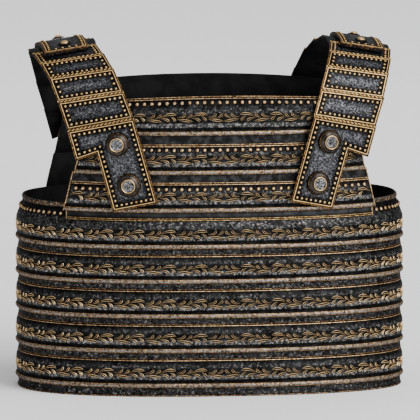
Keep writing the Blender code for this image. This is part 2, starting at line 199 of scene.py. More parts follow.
# One mesh object of several patches, its faces turned outwards, riding on the cuirass in place of nodes
def makePiece(name, patches, made, *nodes):
    materials, slotName = made
    mesh = bpy.data.meshes.new(name)
    points = np.concatenate([patch[0] for patch in patches]) * 0.001
    starts = np.cumsum([0] + [len(patch[0]) for patch in patches])
    faces = [part + start for patch, start in zip(patches, starts) for part in patch[1]]
    slots = np.concatenate([part for patch in patches for part in patch[3]])
    sizes = np.concatenate([np.full(len(part), part.shape[1]) for part in faces])
    corners = np.concatenate([part.reshape(-1) for part in faces])
    mesh.vertices.add(len(points))
    mesh.vertices.foreach_set("co", points.astype(np.float32).ravel())
    mesh.loops.add(len(corners))
    mesh.loops.foreach_set("vertex_index", corners.astype(np.int32))
    mesh.polygons.add(len(sizes))
    mesh.polygons.foreach_set("loop_start", np.concatenate([[0], np.cumsum(sizes)[:-1]]).astype(np.int32))
    mesh.polygons.foreach_set("material_index", slots.astype(np.int32))
    finishAndShade = np.concatenate([patch[2] for patch in patches]).astype(np.float32)
    mesh.attributes.new("finishAndShade", "FLOAT_VECTOR", "POINT").data.foreach_set("vector", finishAndShade.ravel())
    mesh.update(calc_edges=True)
    mesh.validate()
    for material in materials:
        mesh.materials.append(material)
    work = bmesh.new()
    work.from_mesh(mesh)
    bmesh.ops.recalc_face_normals(work, faces=work.faces)
    work.to_mesh(mesh)
    work.free()
    mesh.shade_smooth()
    mesh.set_sharp_from_angle(angle=sharpEdge)
    piece = addObject(name, mesh)
    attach(piece, "root")
    if nodes:
        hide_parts(*nodes)


# Materials

def srgb(code):        # a hex colour, turned to linear light
    channels = np.array([int(code[i:i + 2], 16) for i in (1, 3, 5)]) / 255
    linear = np.where(channels <= 0.04045, channels / 12.92, ((channels + 0.055) / 1.055) ** 2.4)
    return (*[float(value) for value in linear], 1.0)


# Adds a node with its settings and links, and gives its outputs: an input is a value or a socket
def addNode(tree, kind, inputs=None, **settings):
    made = tree.nodes.new("ShaderNode" + kind)
    for setting, value in settings.items():
        setattr(made, setting, value)
    for socket, value in (inputs or {}).items():
        if isinstance(value, bpy.types.NodeSocket):
            tree.links.new(value, made.inputs[socket])
        else:
            made.inputs[socket].default_value = value
    return made.outputs


glancingTint = "#6a6a6a"       # of every metal here, so that old steel doesn't flash white at its edges
noises = [
    # the look's own size for it, detail, roughness, distortion
    ("cloudMm", 3, 0.55, 0.0), ("scuffMm", 6, 0.72, 0.5), ("rubMm", 4, 0.65, 0.0),
]


# Old steel, darkened in its hollows by the painted shade that the finish multiplies its colour by, and
# rubbed bright on its heights, with worn gilding where the finish says so. Clouds vary the ground, scuffs
# are the pale rubbed flecks, rub breaks the gilding up.
def patinaMetal(name, look):
    material = bpy.data.materials.new(name)
    material.use_nodes = True
    tree = material.node_tree
    shader = tree.nodes["Principled BSDF"]
    soft, mix = {"interpolation_type": "SMOOTHSTEP"}, {"data_type": "RGBA"}
    sumOf = {"operation": "MULTIPLY_ADD"}
    dark, middle, pale, giltDeep, giltBright = [
        srgb(look[part]) for part in ("dark", "middle", "pale", "giltDeep", "giltBright")]
    where = addNode(tree, "TexCoord")["Object"]
    finishAndShade = addNode(tree, "Attribute", attribute_name="finishAndShade")["Vector"]
    gilt, shade, wear = addNode(tree, "SeparateXYZ", {0: finishAndShade})
    clouds, scuffs, rub = [
        addNode(tree, "TexNoise", {"Vector": where, "Scale": 1000 / look[size], "Detail": detail,
                "Roughness": roughness, "Distortion": distortion})["Fac"]
        for size, detail, roughness, distortion in noises]
    cloudy = addNode(tree, "MapRange", {"Value": clouds, "From Min": 0.35, "From Max": 0.68}, **soft)[0]
    ground = addNode(tree, "Mix", {0: cloudy, 6: dark, 7: middle}, **mix)[2]
    worn = addNode(tree, "Math", {0: wear, 1: look["wearReach"], 2: scuffs}, **sumOf)[0]
    scuffed = addNode(tree, "MapRange", {"Value": worn, "From Min": look["scuffFrom"],
                      "From Max": look["scuffTo"]}, **soft)[0]
    steel = addNode(tree, "Mix", {0: scuffed, 6: ground, 7: pale}, **mix)[2]
    rich = addNode(tree, "Math", {0: gilt, 1: 0.5, 2: rub}, **sumOf)[0]
    bright = addNode(tree, "MapRange", {"Value": rich, "From Min": 0.76, "From Max": 1.04}, **soft)[0]
    gold = addNode(tree, "Mix", {0: bright, 6: giltDeep, 7: giltBright}, **mix)[2]
    kept = addNode(tree, "Math", {0: rub, 1: 1.1, 2: gilt}, **sumOf)[0]
    gilded = addNode(tree, "MapRange", {"Value": kept, "From Min": 0.93, "From Max": 1.17}, **soft)[0]
    metal = addNode(tree, "Mix", {0: gilded, 6: steel, 7: gold}, **mix)[2]
    # the colour times the finish's shade: painted shade where it is below 1, a lighter steel above
    colour = addNode(tree, "Mix", {0: 1.0, 6: metal, 7: shade}, blend_type="MULTIPLY", **mix)[2]
    roughness = addNode(tree, "MapRange", {"Value": scuffed, "To Min": look["roughDull"],
                        "To Max": look["roughRubbed"]})[0]
    height = addNode(tree, "Math", {0: clouds, 1: 0.6, 2: scuffs}, **sumOf)[0]
    bump = addNode(tree, "Bump", {"Height": height, "Strength": look["bump"], "Distance": 0.0005})["Normal"]
    for socket, source in (("Base Color", colour), ("Roughness", roughness), ("Normal", bump)):
        tree.links.new(source, shader.inputs[socket])
    shader.inputs["Metallic"].default_value = look["metallic"]
    shader.inputs["Specular Tint"].default_value = srgb(glancingTint)
    return material


# Blackened and gilt steel of the bands and plates: painted shade in its hollows, warm worn edges
patinatedSteel = patinaMetal("blackenedGiltSteel", {
    "dark": "#141414", "middle": "#2e2e2f", "pale": "#b8b5b1",
    "giltDeep": "#8f6a46", "giltBright": "#fbdba8",
    "cloudMm": 7.0, "scuffMm": 2.6, "rubMm": 2.2, "scuffFrom": 0.60, "scuffTo": 0.92, "wearReach": 0.20,
    "roughDull": 0.52, "roughRubbed": 0.34, "bump": 0.35, "metallic": 0.85})
# Plain dull steel of the hem, the waist strips and the crown strips: even, with few flecks
plainSteel = patinaMetal("dullGreySteel", {
    "dark": "#1d1d1e", "middle": "#303031", "pale": "#6f6f70",
    "giltDeep": "#7a542f", "giltBright": "#d9be84",
    "cloudMm": 9.0, "scuffMm": 1.8, "rubMm": 2.2, "scuffFrom": 0.62, "scuffTo": 0.95, "wearReach": 0.10,
    "roughDull": 0.55, "roughRubbed": 0.42, "bump": 0.2, "metallic": 0.8})
# Mottled steel of the straps: pale rubbed flecks crowd the fields
mottledSteel = patinaMetal("mottledGiltSteel", {
    "dark": "#131314", "middle": "#29292b", "pale": "#a0a1a6",
    "giltDeep": "#7c542c", "giltBright": "#e2bd80",
    "cloudMm": 4.5, "scuffMm": 1.8, "rubMm": 2.4, "scuffFrom": 0.52, "scuffTo": 0.86, "wearReach": 0.16,
    "roughDull": 0.5, "roughRubbed": 0.36, "bump": 0.35, "metallic": 0.8})
# Turned steel of the studs: smoother, so their domes catch one soft highlight, besides the painted
# sheen and painted shadow of the studs' shade rows
turnedSteel = patinaMetal("turnedDarkSteel", {
    "dark": "#1a1715", "middle": "#2c2825", "pale": "#c4c4c8",
    "giltDeep": "#7e5a31", "giltBright": "#e2bd84",
    "cloudMm": 6.0, "scuffMm": 1.5, "rubMm": 2.0, "scuffFrom": 0.56, "scuffTo": 0.80, "wearReach": 0.20,
    "roughDull": 0.36, "roughRubbed": 0.30, "bump": 0.2, "metallic": 0.88})
# Worn brass of the cap studs: warm, soft and a little brown in its hollows
wornBrass = patinaMetal("wornBrass", {
    "dark": "#1b1a19", "middle": "#3b3a39", "pale": "#c4c4c8",
    "giltDeep": "#7c5a36", "giltBright": "#e0bd8a",
    "cloudMm": 4.0, "scuffMm": 1.3, "rubMm": 2.6, "scuffFrom": 0.55, "scuffTo": 0.85, "wearReach": 0.10,
    "roughDull": 0.38, "roughRubbed": 0.34, "bump": 0.25, "metallic": 0.9})
# Inner faces: almost black, with hardly any gloss
nearBlackInside = patinaMetal("nearBlackInnerSteel", {
    "dark": "#181818", "middle": "#232323", "pale": "#2a2a2a",
    "giltDeep": "#171717", "giltBright": "#171717",
    "cloudMm": 14.0, "scuffMm": 2.6, "rubMm": 4.0, "scuffFrom": 0.62, "scuffTo": 0.95, "wearReach": 0.0,
    "roughDull": 0.8, "roughRubbed": 0.7, "bump": 0.1, "metallic": 0.3})
# What a piece is made of, outside first, and its slot
bandMetal = ([patinatedSteel, nearBlackInside], "blackened_steel")
reliefMetal = ([patinatedSteel], "blackened_steel")
hemMetal = ([patinatedSteel, nearBlackInside], "grey_steel")
stripMetal = ([plainSteel, nearBlackInside], "grey_steel")
strapMetal = ([mottledSteel, nearBlackInside], "mottled_steel")
studMetal = ([turnedSteel], "stud_steel")
capStudMetal = ([wornBrass], "worn_brass")
print("materials made")


# Rows: the girdle bands, and the breast and back plates, share one section

section = {
    "beadHeight": 5.4, "beadProud": 1.0, "beadBack": 2.9, "beadReach": 2.6,
    "grooveDepth": 0.8, "grooveReach": 6.8,
    "rubbedTop": 10.3, "friezeFoot": 12.1,       # heights above the bead
    "friezeBelow": 3.0, "fieldBelow": 2.0,       # heights below the slope's foot
    "wall": 1.9, "slopeWall": 1.5, "seatGap": 0.4,
    "lineWidth": 0.9, "lineHeight": 0.35, "lineSpacing": 1.9,    # the gilt lines along the margin's foot
}
face = -section["beadProud"]                              # offset of every row's outer face
margin = -section["beadBack"] - section["seatGap"]       # and of every margin and plain strip
zone = {
    # finish of each zone: gilt, shade, wear. The dark shade under the bead, in the groove, beside the gilt
    # lines and on the bead's edges is painted shade.
    "rubbedHighlitCrown": (0.38, 0.92, 1.2), "bead": (0.55, 0.76, 0.7), "shadedGiltEdge": (0.75, 0.5, 0.3),
    "under": (0, 0.1, 0), "shadedGroove": (0, 0.34, 0), "rubbed": (0, 1.15, 0.78),
    "frieze": (0, 0.6, 0), "field": (0, 0.95, 0.55), "line": (0.75, 0.9, 0.5),
    "faintLine": (0.52, 0.8, 0.5), "gap": (0, 0.2, 0), "margin": (0, 0.85, 0.5),
    "plainMargin": (0, 1.45, -0.5), "roll": (0.42, 0.9, 0.7), "inside": (0, 0.8, 0),
}
beadArc = [
    # degrees round the bead from its middle, upwards, and the zone there
    # across the bead the shade rises from its gilt edges to its crown, painted shading of the round bead, and
    # the crown's pale rubbed flecks are wear that also paints its highlight line
    (-90, "under"), (-72, "under"), (-52, "shadedGiltEdge"), (-32, "bead"), (-12, "rubbedHighlitCrown"),
    (8, "rubbedHighlitCrown"), (28, "bead"), (46, "shadedGiltEdge"), (60, "shadedGroove"),
]
grooveArc = [(0.8, 0.1), (1.7, 0.0), (2.7, 0.25)]      # height above the bead, and above the groove's floor


# The bead and groove, from the bead's foot up: a half ellipse, then a shallow hollow above it, with a
# painted shadow under the bead and painted shade in the hollow
def beadRows():
    half, reach = section["beadHeight"] / 2, section["beadReach"]
    deep = face - section["grooveDepth"]
    rows = [(-section["beadBack"], -half, *zone["under"])]
    for degrees, kind in beadArc:
        a = math.radians(degrees)
        rows.append((reach * (math.cos(a) - 1), half * math.sin(a), *zone[kind]))
    return rows + [(deep + rise, half + height, *zone["shadedGroove"]) for height, rise in grooveArc]


# the dark rows at a gilt line's foot and top are painted shade in the creases beside it
def lineRows(offset, height, rise, kind="line"):   # a small ridge, gilt on its crown, on a slope of rise
    half, lift = section["lineWidth"] / 2, section["lineHeight"]
    return [(offset - rise * half, height - half, *zone["gap"]),
            (offset + lift - rise * half * 0.5, height - half * 0.55, *zone[kind]),
            (offset + lift + rise * half * 0.5, height + half * 0.55, *zone[kind]),
            (offset + rise * half, height + half, *zone["gap"])]


# The face from above the groove to the slope's foot, with its zones of finish
def faceRows(slopeFoot):
    heights = [(section["grooveReach"], "rubbed"), (section["rubbedTop"], "rubbed"),
               (section["friezeFoot"], "frieze"), (slopeFoot - section["friezeBelow"], "frieze"),
               (slopeFoot - section["fieldBelow"], "field"), (slopeFoot, "field")]
    return [(face, height, *zone[kind]) for height, kind in heights]


# The inner side, from the top down: a wall behind the upper face to the bend, then behind the slope's foot
def innerRows(upperFace, top, bend, slopeFoot):
    back, deep = upperFace - section["wall"], face - section["grooveDepth"] - section["slopeWall"]
    return [(back, top, *zone["inside"]), (back, bend - section["wall"] / 2, *zone["inside"]),
            (deep, slopeFoot - section["slopeWall"] / 2, *zone["inside"])]


# A row's whole section as (offset, height, gilt, shade, wear), and how many of its points are outer
def plateRows(slopeFoot, marginFoot, top, marginZone, lines=2):
    fall = (margin - face) / (marginFoot - slopeFoot)
    firstLine = marginFoot - section["lineSpacing"] + 0.5
    rows = beadRows() + faceRows(slopeFoot)
    if lines == 2:
        rows += lineRows(face + fall * (firstLine - slopeFoot), firstLine, fall)
    lineZone = "line" if lines == 1 or marginZone == "plainMargin" else "faintLine"
    rows += lineRows(margin, marginFoot + 0.5, 0.0, lineZone)
    if marginZone:
        rows += [(margin, marginFoot + 1.4, *zone[marginZone])]
    rows += [(margin, top, *zone[marginZone or "line"])]
    return np.array(rows + innerRows(margin, top, marginFoot, slopeFoot)), len(rows)


# A row: its section, where its bead lies, and how it leans, dips and ends
def makeRow(name, rows, outer, bead, side=-1, lean=0.0, dip=0.0, foot=None, slope=0.0):
    heights = rows[:outer, 1]
    order = np.argsort(heights, kind="stable")
    return {"name": name, "rows": rows, "outer": outer, "bead": bead, "side": side, "lean": lean, "dip": dip,
            "tall": rows[:, 1].max(), "heights": heights[order], "offsets": rows[:outer, 0][order],
            "slots": np.where(np.arange(len(rows)) < outer, 0, 1), "footHalfWidth": foot, "endSlope": slope}


# A hoop: the section carried all round the plan
def hoopPatch(row):
    rows = row["rows"]
    s = np.linspace(-halfGirth, halfGirth, body["hoopStations"], endpoint=False)
    points = rowPoints(row, s, rows[:, 1:2], rows[:, :1])
    return gridPatch(points, rows[:, None, 2:], True, True, row["slots"])


# Half width of an open plate at a height above its bead, along the armhole line
def endHalfWidth(row, height):
    return row["footHalfWidth"] - row["endSlope"] * height


# The gilt lip along both ends of an open plate: across it, from the end inwards, the places as shares
# of its width and their zones, with painted shade on the end and in the crease inside the lip. The plain
# stations between the lips start at inner widths.
lip = {"width": 1.5, "lift": 0.3, "inner": 1.3, "shares": [0.0, 0.25, 0.8, 1.15],
       "zones": ["shadedGiltEdge", "line", "line", "gap"]}


# An open plate: the section carried between its two armhole ends, at fractions of each end's arc
# length, with the lips' two middle columns lifted
def platePatch(row):
    rows, outer = row["rows"], row["outer"]
    lean = row["lean"] * (row["bead"] + rows[:, 1] - chest["lowestBead"])
    reach = arcAt(endHalfWidth(row, rows[:, 1]), rows[:, 0] - lean)[:, None]
    inner = np.linspace(-1, 1, body["plateStations"]) * (reach - lip["inner"] * lip["width"])
    ends = np.array(lip["shares"]) * lip["width"]
    s = np.concatenate([ends - reach, inner, reach - ends[::-1]], axis=1)
    lifts = np.zeros(s.shape[1])
    lifts[[1, 2, -2, -3]] = lip["lift"]
    outside = row["slots"][:, None] == 0
    points = rowPoints(row, s, rows[:, 1:2], rows[:, :1] + outside * lifts)
    finishAndShade = np.repeat(rows[:, None, 2:], s.shape[1], axis=1)
    for column, kind in enumerate(lip["zones"]):
        finishAndShade[:outer, [column, -1 - column]] = zone[kind]
    return gridPatch(points, finishAndShade, True, False, row["slots"], ("left", "right"))


# Girdle bands

girdle = {
    "slopeFoot": 21.0, "marginFoot": 28.2, "friezeHeight": 13.0,
    "rimHeight": 207.0, "rimInset": 7.0, "rimRound": 0.8, "bendIn": 2.4, "bendUp": 6.4,
    "rimRoll": 5.0, "rollProud": 0.8, "rollRadius": 1.4,
    "pearlHeight": 195.0, "pearlFree": 172.6,     # the rim's pearls start outside the waist strip
}
bandBeads = [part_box(f"girdle_band_{number}")[0].z * 1000 + section["beadHeight"] / 2
             for number in range(1, 6)]
chest = {
    "lowestBead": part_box("front_plate_3")[0].z * 1000 + section["beadHeight"] / 2,
    "top": 324.2, "dip": 5.5, "footHalfWidth": 169.0, "topHalfWidth": 140.0, "step": 1.5,
}


def rimRows(slopeFoot, top):        # the top band ends in a round roll
    rollFoot, half = top - girdle["rimRoll"], girdle["rimRoll"] / 2
    edge = -girdle["rimInset"] - girdle["rimRound"]
    middle = edge + girdle["rollProud"] - girdle["rollRadius"]
    rows = beadRows() + faceRows(slopeFoot)
    # the crease under the roll is dark: painted shade
    rows += [(face - girdle["bendIn"], slopeFoot + girdle["bendUp"], *zone["field"]),
             (edge - 0.1, rollFoot - 0.5, *zone["gap"])]
    for degrees in (-80, -50, -20, 10, 40, 70, 90):
        a = math.radians(degrees)
        rows.append((middle + girdle["rollRadius"] * math.cos(a), rollFoot + half * (1 + math.sin(a)),
                     *zone["roll"]))
    return np.array(rows + innerRows(edge, top, rollFoot, slopeFoot)), len(rows)


bandRows = []
for number, bead in enumerate(bandBeads, start=1):
    if number == 1:
        rows, outer = rimRows(girdle["slopeFoot"], girdle["rimHeight"] - bead)
    else:
        top = bandBeads[number - 2] - bead - section["seatGap"]
        rows, outer = plateRows(girdle["slopeFoot"], girdle["marginFoot"], top, "margin")
    row = makeRow(f"girdleBand{number}", rows, outer, bead)
    bandRows.append(row)
    makePiece(row["name"], [hoopPatch(row)], bandMetal, f"girdle_band_{number}")
print("girdle bands made")


# Hem ring and waist strips

hem = {"wall": 2.5, "lipProud": 0.9, "lipHeight": 1.8, "lipFace": 0.7, "lipLine": 2.6, "bend": 8.2}
hemTop = bandBeads[-1] - section["seatGap"]
hemBack, hemFront = margin - hem["wall"], margin + hem["lipProud"]
hemRows = np.array([
    (margin, hemTop, *zone["margin"]), (margin, hem["bend"], *zone["margin"]),
    # the crease above the lip and the lip's bottom edge are darker: painted shade
    (margin, hem["lipLine"], *zone["margin"]), (margin, hem["lipHeight"], 0.1, 0.4, 0.1),
    (margin + hem["lipProud"] * 0.8, hem["lipHeight"] - 0.4, 0.55, 0.8, 0.6),
    (hemFront, hem["lipFace"], 0.45, 0.8, 0.6), (hemFront, 0.0, 0.2, 0.5, 0.2),
    (hemBack, 0.0, *zone["inside"]), (hemBack, hemTop, *zone["inside"])])
makePiece("hemRing", [hoopPatch(makeRow("hemRing", hemRows, 7, 0.0))], hemMetal, "hem_ring")

waistStrip = {"foot": 190.3, "bend": 6.0, "wall": 1.6, "gap": 0.4, "halfWidth": 166.3, "lines": (0.5, 2.2),
              "round": 0.3}
rimSlope = (girdle["rimInset"] + girdle["rimRound"] + face) / (
    girdle["rimHeight"] - bandBeads[0] - girdle["rimRoll"] - girdle["slopeFoot"])
stripFoot = waistStrip["foot"] - bandBeads[0]
stripBack = face - rimSlope * (stripFoot - girdle["slopeFoot"]) + waistStrip["gap"]
stripTop = chest["lowestBead"] - section["seatGap"] - bandBeads[0]
footOut = stripBack + waistStrip["wall"]
bendHeight = stripFoot + waistStrip["bend"]
fall = (margin - footOut) / waistStrip["bend"]
low, high = [lineRows(footOut + fall * rise, stripFoot + rise, fall) for rise in waistStrip["lines"]]
# the strip's foot is dark: painted shade under its edge
stripRows = [(stripBack, stripFoot, *zone["gap"]), (footOut - waistStrip["round"], stripFoot, *zone["line"])]
stripRows += low[1:] + high
stripRows += [(margin, bendHeight, *zone["plainMargin"]), (margin, stripTop, *zone["plainMargin"])]
outer = len(stripRows)
stripRows += [(margin - waistStrip["wall"], stripTop, *zone["inside"]),
              (margin - waistStrip["wall"], bendHeight, *zone["inside"])]
for place, side in (("front", -1), ("back", 1)):
    row = makeRow("strip", np.array(stripRows), outer, bandBeads[0], side, foot=waistStrip["halfWidth"])
    makePiece(f"{place}WaistStrip", [platePatch(row)], stripMetal, f"{place}_waist_strip")
print("hem and waist strips made")


# Breast and back plates

plateLooks = [
    # name, slope's and margin's foot as shares of the plate's height, gilt lines, frieze and pearl heights
    ("plate_1", 0.600, 0.930, 1, 17.2, 33.0),
    ("plate_2", 0.490, 0.704, 2, 13.8, 24.0),
    ("plate_3", 0.480, 0.719, 2, 13.8, 22.3),
]
endSlope = (chest["footHalfWidth"] - chest["topHalfWidth"]) / (chest["top"] - chest["lowestBead"])
chestRows = []
top = chest["top"]
for index, (plate, slopeShare, marginShare, lines, friezeHeight, pearlHeight) in enumerate(plateLooks):
    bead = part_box(f"front_{plate}")[0].z * 1000 + section["beadHeight"] / 2
    tall = top - bead
    marginZone = None if index == 0 else "plainMargin"
    rows, outer = plateRows(slopeShare * tall, marginShare * tall, tall, marginZone, lines)
    foot = chest["footHalfWidth"] - endSlope * (bead - chest["lowestBead"]) - chest["step"] * (2 - index)
    for place, side in (("front", -1), ("back", 1)):
        row = makeRow(f"{place}Plate{index + 1}", rows, outer, bead, side, math.tan(body["lean"]),
                      chest["dip"] if index == 0 else 0.0, foot, endSlope)
        row["friezeHeight"], row["pearlHeight"] = friezeHeight, pearlHeight
        chestRows.append(row)
        makePiece(row["name"], [platePatch(row)], bandMetal, f"{place}_{plate}")
    top = bead - section["seatGap"]
print("breast and back plates made")


# Leaf scroll of the friezes

scroll = {"pitch": 34.0, "start": 18.0, "stations": 8, "widen": 1.02, "tipWidth": 0.16, "tall": 10.0,
          "overMiddle": 0.7, "endGap": 1.5, "backGap": 0.5}
leafSection = [
    # half of a leaf's section: across as a share of its half width, lift, gilt, shade, wear
    # the sunk rim is near black: a painted shadow round the leaf
    (1.4, -0.35, 0, 0.1, 0),
    (1.15, 0.06, 1.1, 0.95, 0.2),
    (0.85, 0.5, 1.7, 1.08, 1.0),
    (0.5, 0.05, 0, 0.3, 0),
]
leaves = [
    # along and up at the tip, the middle and the stem, half width, and where it is widest (0 tip, 1 stem)
    (0.2, 2.9, 8.0, 3.9, 16.6, 0.9, 1.15, 0.40),
    (1.4, -3.7, 3.0, -1.2, 6.4, 1.2, 1.05, 0.35),
    (8.0, -4.0, 11.6, -1.6, 17.6, -0.4, 1.05, 0.28),
    (17.2, 4.4, 19.4, 1.4, 23.6, -0.4, 1.00, 0.28),
    (24.6, 4.6, 27.0, 1.2, 33.6, 0.6, 1.00, 0.25),
    (16.0, -4.1, 24.0, -3.0, 33.2, -1.7, 1.10, 0.50),
]


# A leaf in (along, up, lift): across it the lift runs from the sunk rim, near black as a painted shadow
# round the leaf, over a gilt ridge to a darker hollow and back, along it the half width follows a skewed
# sine. The line bends through three points.
def leafPatch(tipX, tipY, midX, midY, stemX, stemY, halfWidth, widest):
    t = np.linspace(0, 1, scroll["stations"])
    bendX, bendY = 2 * midX - (tipX + stemX) / 2, 2 * midY - (tipY + stemY) / 2
    x = (1 - t) ** 2 * tipX + 2 * t * (1 - t) * bendX + t ** 2 * stemX
    y = (1 - t) ** 2 * tipY + 2 * t * (1 - t) * bendY + t ** 2 * stemY
    alongX, alongY = np.gradient(x, t), np.gradient(y, t)
    length = np.hypot(alongX, alongY)
    skewed = t ** (math.log(0.5) / math.log(widest))
    least = scroll["tipWidth"]
    width = halfWidth * scroll["widen"] * (least + (1 - least) * np.sin(math.pi * skewed))
    profile = np.array([(-share, *rest) for share, *rest in leafSection] + leafSection[::-1])
    across, lift = profile[:, 0], profile[:, 1]
    px = x[:, None] - across * (width * alongY / length)[:, None]
    py = y[:, None] + across * (width * alongX / length)[:, None]
    points = np.stack([px, py, np.broadcast_to(lift, px.shape)], axis=-1)
    return tubePatch(points, profile[:, 2:])


# A frieze: the leaves of every pitch from the middle of the front outwards, and their mirror images,
# kept where they end inside reach, then wrapped on the row's face
def friezePatch(row, height, reach):
    pitch = scroll["pitch"]
    patches = []
    for points, faces, finishAndShade, slots in [leafPatch(*leaf) for leaf in leaves]:
        for repeat in range(-1, int(reach / pitch) + 1):
            s = points[:, 0] + scroll["start"] + repeat * pitch
            if s.min() < -scroll["overMiddle"] or s.max() > reach:
                continue
            for hand in (1, -1):
                placed = onRow(row, s * hand, points[:, 1] + height, points[:, 2])
                patches.append((placed, faces, finishAndShade, slots))
    return patches


for row in bandRows:
    patches = friezePatch(row, girdle["friezeHeight"], halfGirth - scroll["backGap"])
    makePiece(row["name"] + "Frieze", patches, reliefMetal)
for row in chestRows:
    ends = arcAt(endHalfWidth(row, row["friezeHeight"] + scroll["tall"] / 2), face)
    patches = friezePatch(row, row["friezeHeight"], ends - scroll["endGap"])
    makePiece(row["name"] + "Frieze", patches, reliefMetal)
print("friezes made")


# Pearls

pearls = {"large": 2.15, "largeSpacing": 8.4, "small": 1.45, "smallSpacing": 5.6, "sides": 9,
          "plateGilt": 0.74, "strapGilt": 1.0, "endGap": 5.0}


# A pearl: a dome of nearly a quarter circle on a near-black collar, its foot sunk into the plate; the
# collar and the dark ring at the dome's foot are a painted shadow round it. A row is a ring's radius and
# height as shares of the pearl's radius, then gilt, shade and wear.
def pearlPatch(radius, gilt):
    outline = np.array([
        (1.42, -0.25, 0, 0.1, 0), (1.42, 0.05, 0, 0.1, 0), (1.02, 0.08, 0.2, 0.2, 0),
        (0.90, 0.42, gilt - 0.1, 0.65, 0.5), (0.58, 0.72, gilt, 0.9, 0.9), (0.18, 0.84, gilt, 1.0, 1.0)])
    outline[:, :2] *= radius
    return turnedPatch(outline, np.zeros(3), np.array([0.0, 0.0, 1.0]), pearls["sides"])


# Pearls at one height above a row's bead, at arc lengths
def pearlRow(row, positions, height, radius):
    heights = np.full(len(positions), height)
    patch = pearlPatch(radius, pearls["plateGilt"])
    return stamped(patch, onRow(row, positions, heights), rowAxes(row, positions, heights))


count = halfGirth / pearls["largeSpacing"]
rimPearls = np.arange(-math.floor(count), count - 0.5)
rimPearls = rimPearls * halfGirth * 2 / len(rimPearls)
free = np.abs(np.interp(rimPearls, arc, unitX)) * body["halfWidth"] > girdle["pearlFree"]
rimRow = pearlRow(bandRows[0], rimPearls[free], girdle["pearlHeight"] - bandBeads[0], pearls["large"])
makePiece("rimPearls", [rimRow], reliefMetal)
for row in chestRows:
    reach = arcAt(endHalfWidth(row, row["pearlHeight"]), face) - pearls["endGap"]
    count = int(reach / pearls["largeSpacing"] - 0.5)
    positions = (np.arange(-count - 1, count + 1) + 0.5) * pearls["largeSpacing"]
    patch = pearlRow(row, positions, row["pearlHeight"], pearls["large"])
    makePiece(row["name"] + "Pearls", [patch], reliefMetal)
print("pearls made")


# Shoulder straps: the frame of an end plate and the run of the lames

strap = {
    "width": 73.5, "crownWidth": 69.0, "wall": 1.8, "lap": 3.0, "gap": 0.4, "crownGap": 1.0,
    "halfSpan": 161.0, "height": 370.5, "droop": math.radians(9.0), "sweep": math.radians(8.5),
}
endPlate = {
    "seatHalfSpan": 100.0, "flare": math.radians(3.0), "topInnerX": 95.9, "topInnerZ": 301.9,
    "length": 95.46, "legWidth": 49.6, "footDepth": 33.5, "notchDepth": 30.0,
    "droop": math.radians(11.4), "lean": math.radians(15.4), "upperStud": 24.0, "lowerStud": 70.3,
}
lameEdges = [
    # out along X, back along Y, up along Z, between the end plate's top and the crown
    ("lame4", 0.330, 0.088, 0.384),
    ("lame3", 0.612, 0.250, 0.698),
    ("lame2", 0.844, 0.483, 0.875),
    ("lame1", 0.996, 0.768, 0.964),
]


# Unit vector across a strap, outwards: it droops below the level and sweeps back
def acrossVector(droop, sweep):
    return np.array([math.cos(droop) * math.cos(sweep), math.cos(droop) * math.sin(sweep), -math.sin(droop)])


def frontOfPlan(x):        # y of the plan's front half at x
    n = body["exponent"]
    return -body["halfDepth"] * (1 - (x / body["halfWidth"]) ** n) ** (1 / n)


# The left end plate's top inner corner, its directions across and down, and its normal: it lies on
# the lowest breast plate's bead along the plan's tangent there, flared out towards its top
def endFrame():
    seatX, flare, step = endPlate["seatHalfSpan"], endPlate["flare"], 0.1
    seat = np.array([seatX, frontOfPlan(seatX), chest["lowestBead"]])
    level = unit(np.array([step, frontOfPlan(seatX + step) - seat[1], 0.0]))
    out = np.array([level[1], -level[0], 0.0])
    up = np.array([0, 0, math.cos(flare)]) + out * math.sin(flare)
    normal = out * math.cos(flare) - np.array([0, 0, math.sin(flare)])
    corner = (seat + level * ((endPlate["topInnerX"] - seat[0]) / level[0])
              + up * ((endPlate["topInnerZ"] - seat[2]) / up[2]) + normal * (strap["gap"] + strap["wall"]))
    across = level * math.cos(endPlate["droop"]) - up * math.sin(endPlate["droop"])
    down = -level * math.sin(endPlate["lean"]) - up * math.cos(endPlate["lean"])
    return corner, across, down, normal


def lameRuns():        # from the end plate up: name, corners of the front face, and its normal
    corner, across, down, normal = endFrame()
    endTop = corner + across * strap["width"] / 2
    crown = np.array([strap["halfSpan"], 0.0, strap["height"]])
    shoulderAcross = acrossVector(strap["droop"], strap["sweep"])
    upper, lowerAcross, lowerDown, lowerNormal, lowerWidth = endTop, across, down, normal, strap["width"]
    runs = []
    for name, out, back, rise in lameEdges:
        foot = upper + lowerDown * strap["lap"] - lowerNormal * (strap["wall"] + strap["gap"])
        top = np.array([endTop[0] + (crown[0] - endTop[0]) * out, endTop[1] * (1 - back),
                        endTop[2] + (crown[2] - endTop[2]) * rise])
        lameDown = unit(foot - top)
        lameNormal = unit(np.cross(shoulderAcross, lameDown))
        lameNormal = lameNormal if lameNormal[1] < 0 else -lameNormal
        width = strap["width"] + (strap["crownWidth"] - strap["width"]) * rise
        corners = np.array([top - shoulderAcross * width / 2, top + shoulderAcross * width / 2,
                            foot + lowerAcross * lowerWidth / 2, foot - lowerAcross * lowerWidth / 2])
        runs.append((name, corners, lameNormal))
        upper, lowerAcross, lowerDown = top, shoulderAcross, lameDown
        lowerNormal, lowerWidth = lameNormal, width
    crownFoot = upper + lowerDown * strap["lap"] - lowerNormal * (strap["wall"] + strap["crownGap"])
    return runs, crownFoot


border = {"pearlInset": 5.9, "sideInset": 6.5, "endDepth": 12.5, "lapGap": 0.3, "lapTuck": 0.4,
          "middleGap": 0.5, "divisions": 8}
